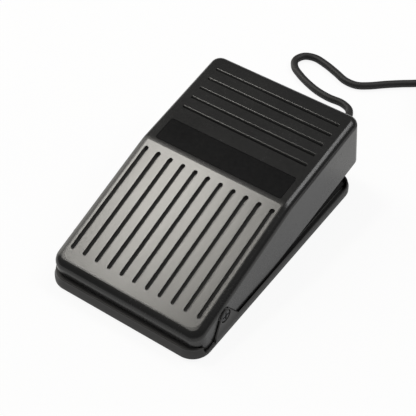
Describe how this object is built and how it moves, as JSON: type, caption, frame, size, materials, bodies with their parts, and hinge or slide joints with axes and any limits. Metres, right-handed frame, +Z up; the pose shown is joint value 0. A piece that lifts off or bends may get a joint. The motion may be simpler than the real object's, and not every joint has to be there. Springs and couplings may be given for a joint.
{
  "type": "usb foot pedal switch",
  "caption": "Rocker foot pedal on a shallow tray: grey slotted tread, sprung hinged cover that presses a lever switch inside, and a thin cord to a USB plug.",
  "frame": {"origin": "on the standing surface, under the middle of the object's box without its cord", "axes": "+X to the right, +Y to the rear where the cord leaves, +Z up; the pedal is unpressed"},
  "size_m": [0.1151, 0.1834, 0.0332],
  "materials": {
    "tray_plastic": "satin moulded black",
    "cover_plastic": "satin moulded black",
    "tread_silver": "satin silver grey",
    "label_gloss": "gloss black",
    "foot_rubber": "matt",
    "screw_steel": "blackened",
    "spring_steel": "bright",
    "board": "solder mask",
    "case_black": "matt",
    "plunger_red": "gloss",
    "plated_pins": "plated",
    "can_metal": "satin plated",
    "capacitor": "sleeved",
    "ivory_plastic": "natural",
    "wire_sleeve": "sleeved wire",
    "cord_jacket": "satin vinyl",
    "soft_moulding": "satin vinyl",
    "tie_strap": "woven"
  },
  "bodies": {
    "base": {"base_tray": "tray_plastic", "rubber_feet": "foot_rubber", "bumper_pads": "foot_rubber", "hinge_screws": "screw_steel", "board_screws": "screw_steel", "clamp_screws": "screw_steel", "return_springs": "spring_steel", "circuit_board": "board", "switch_case": "case_black", "cable_clamp": "case_black", "controller_chip": "case_black", "resistors": "case_black", "switch_terminals": "plated_pins", "header_pins": "plated_pins", "plug_contacts": "plated_pins", "crystal": "can_metal", "plug_shell": "can_metal", "capacitors": "capacitor", "cable_header": "ivory_plastic", "header_plug": "ivory_plastic", "plug_tongue": "ivory_plastic", "cable_wires": "wire_sleeve", "cable_inner": "cord_jacket", "usb_cable_run": "cord_jacket", "usb_cable_coil": "cord_jacket", "usb_cable_tail": "cord_jacket", "strain_relief": "soft_moulding", "plug_grip": "soft_moulding", "cable_tie": "tie_strap"},
    "pedal": {"pedal_cover": "cover_plastic", "tread_plate": "tread_silver", "label_plate": "label_gloss"},
    "lever": {"switch_lever": "spring_steel"},
    "plunger": {"switch_plunger": "plunger_red"}
  },
  "joints": [
    {"name": "pedal_hinge", "type": "hinge", "parent": "base", "child": "pedal", "pos_m": [0, -0.03519, 0.0095], "axis": [-1, 0, 0], "range_deg": [0, 5.1], "stiffness_Nm_per_rad": 4.5, "springref_deg": -2.86, "deforming": ["return_springs"]},
    {"name": "lever_hinge", "type": "hinge", "parent": "base", "child": "lever", "pos_m": [0, 0.00381, 0.0152], "axis": [1, 0, 0], "range_deg": [0, 5.4]},
    {"name": "plunger_slide", "type": "slide", "parent": "base", "child": "plunger", "axis": [0, 0, -1], "range_m": [0, 0.00052]}
  ],
  "couplings": [
    {"joint": "lever_hinge", "follows": "pedal_hinge", "ratio": 1.05},
    {"joint": "plunger_slide", "follows": "pedal_hinge", "m_per_rad": 0.0056}
  ]
}
